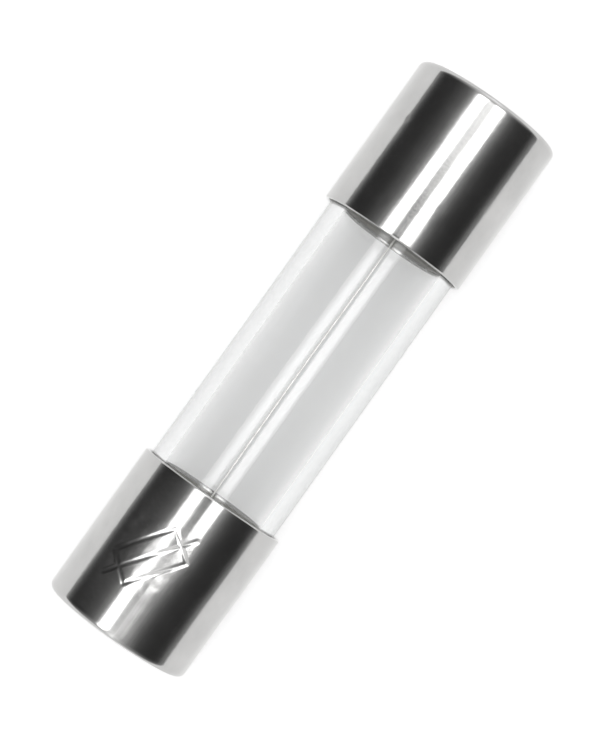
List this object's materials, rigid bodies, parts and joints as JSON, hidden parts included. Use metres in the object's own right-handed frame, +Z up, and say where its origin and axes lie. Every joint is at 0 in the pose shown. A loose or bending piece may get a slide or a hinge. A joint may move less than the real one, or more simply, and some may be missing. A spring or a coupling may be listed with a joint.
{
  "type": "cartridge fuse",
  "caption": "Miniature glass cartridge fuse: a clear tube with a straight fusible wire, closed at each end by a bright drawn metal cap.",
  "frame": {"origin": "the fuse's centre, on its axis, halfway between the two end contact faces", "axes": "+X along the fuse's axis towards the right cap, +Z up, square to the axis; the fuse lies on its side"},
  "size_m": [0.02, 0.005, 0.005],
  "materials": {
    "glass": "clear, smooth, fire-polished at the ends",
    "nickel_plate": "bright nickel plate over drawn brass, with fine drawing lines and light handling scratches",
    "tinned_wire": "bright tinned copper wire",
    "solder": "satin tin solder",
    "cement": "dull off-white cement"
  },
  "bodies": {
    "root": {"glass_tube": "glass", "end_cap_left": "nickel_plate", "end_cap_right": "nickel_plate", "fuse_wire": "tinned_wire", "solder_left": "solder", "solder_right": "solder", "cement_left": "cement", "cement_right": "cement"}
  },
  "joints": []
}
